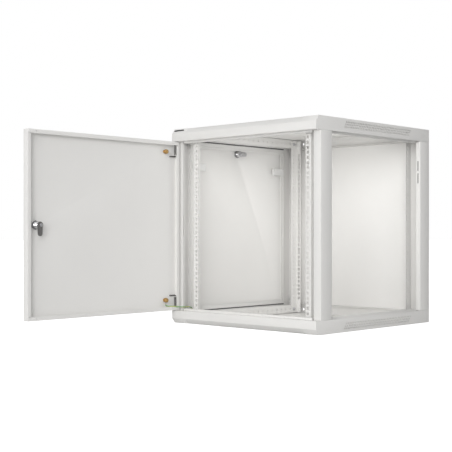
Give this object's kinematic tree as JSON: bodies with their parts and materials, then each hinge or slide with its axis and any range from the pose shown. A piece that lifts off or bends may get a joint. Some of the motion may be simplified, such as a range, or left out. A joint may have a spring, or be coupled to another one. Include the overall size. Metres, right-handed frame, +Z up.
{
  "type": "network server rack cabinet",
  "caption": "Wall-mounted 19-inch network rack cabinet in folded sheet steel, with a lockable hinged metal door, removable side panel and four drilled mounting rails.",
  "frame": {"origin": "bottom centre of the cabinet body, on the surface it stands on", "axes": "+X to the right for someone facing the door opening, +Y towards the wall, +Z up"},
  "size_m": [0.6025, 1.184, 0.635],
  "materials": {
    "cabinet_paint": "fine-textured light grey powder coat",
    "rail_paint": "light grey powder coat",
    "zinc_plate": "zinc plated",
    "dark_steel": "dark zinc",
    "chrome": "polished",
    "brass": "satin",
    "white_plastic": "moulded",
    "lead_insulation": "green and yellow PVC insulation"
  },
  "bodies": {
    "cabinet": {"bottom_cable_entry_plate": "cabinet_paint", "bottom_cover": "cabinet_paint", "earth_lead": "lead_insulation", "frame_earth_stud": "brass", "frame_lead_lug": "zinc_plate", "front_left_post": "cabinet_paint", "front_left_rail": "rail_paint", "front_left_rail_lower_bolt": "zinc_plate", "front_left_rail_upper_bolt": "zinc_plate", "front_right_post": "cabinet_paint", "front_right_rail": "rail_paint", "front_right_rail_lower_bolt": "zinc_plate", "front_right_rail_upper_bolt": "zinc_plate", "lower_front_cross_member": "cabinet_paint", "lower_left_depth_brace": "cabinet_paint", "lower_left_side_member": "cabinet_paint", "lower_rear_cross_member": "cabinet_paint", "lower_right_depth_brace": "cabinet_paint", "lower_right_side_member": "cabinet_paint", "rear_left_post": "cabinet_paint", "rear_left_rail": "rail_paint", "rear_left_rail_lower_bolt": "zinc_plate", "rear_left_rail_upper_bolt": "zinc_plate", "rear_panel": "cabinet_paint", "rear_right_post": "cabinet_paint", "rear_right_rail": "rail_paint", "rear_right_rail_lower_bolt": "zinc_plate", "rear_right_rail_upper_bolt": "zinc_plate", "top_cable_entry_plate": "cabinet_paint", "top_cover": "cabinet_paint", "upper_front_cross_member": "cabinet_paint", "upper_left_depth_brace": "cabinet_paint", "upper_left_side_member": "cabinet_paint", "upper_rear_cross_member": "cabinet_paint", "upper_right_depth_brace": "cabinet_paint", "upper_right_side_member": "cabinet_paint"},
    "door": {"door_lead_lug": "zinc_plate", "door_lock_barrel": "chrome", "door_lock_nut": "zinc_plate", "door_pan": "cabinet_paint", "lower_door_earth_stud": "brass", "lower_hinge_bracket": "cabinet_paint", "lower_hinge_spring": "dark_steel", "upper_door_earth_stud": "brass", "upper_hinge_bracket": "cabinet_paint", "upper_hinge_spring": "dark_steel"},
    "door_lock_cam": {"door_lock_cam": "dark_steel"},
    "upper_hinge_pin": {"upper_hinge_pin": "dark_steel"},
    "lower_hinge_pin": {"lower_hinge_pin": "dark_steel"},
    "left_panel": {"left_panel": "cabinet_paint", "front_snap_catch": "white_plastic", "rear_snap_catch": "white_plastic", "panel_lock_barrel": "chrome", "panel_lock_nut": "zinc_plate"},
    "panel_lock_cam": {"panel_lock_cam": "dark_steel"}
  },
  "joints": [
    {"name": "door_swing", "type": "hinge", "parent": "cabinet", "child": "door", "pos_m": [-0.292, -0.293, 0.3175], "axis": [0, 0, -1], "range_deg": [-90, 90], "deforming": ["earth_lead"]},
    {"name": "door_lock_turn", "type": "hinge", "parent": "door", "child": "door_lock_cam", "pos_m": [-0.299, -0.846, 0.3175], "axis": [-1, 0, 0], "range_deg": [0, 90]},
    {"name": "upper_pin_slide", "type": "slide", "parent": "door", "child": "upper_hinge_pin", "axis": [0, 0, -1], "range_m": [0, 0.0095], "stiffness_N_per_m": 350, "springref_m": -0.01, "deforming": ["upper_hinge_spring"]},
    {"name": "lower_pin_slide", "type": "slide", "parent": "door", "child": "lower_hinge_pin", "axis": [0, 0, 1], "range_m": [0, 0.0095], "stiffness_N_per_m": 350, "springref_m": -0.01, "deforming": ["lower_hinge_spring"]},
    {"name": "left_panel_tilt", "type": "hinge", "parent": "cabinet", "child": "left_panel", "pos_m": [-0.3, 0.0105, 0.0418], "axis": [0, -1, 0], "range_deg": [0, 25]},
    {"name": "panel_lock_turn", "type": "hinge", "parent": "left_panel", "child": "panel_lock_cam", "pos_m": [-0.3, 0.0105, 0.57], "axis": [1, 0, 0], "range_deg": [0, 90]}
  ]
}
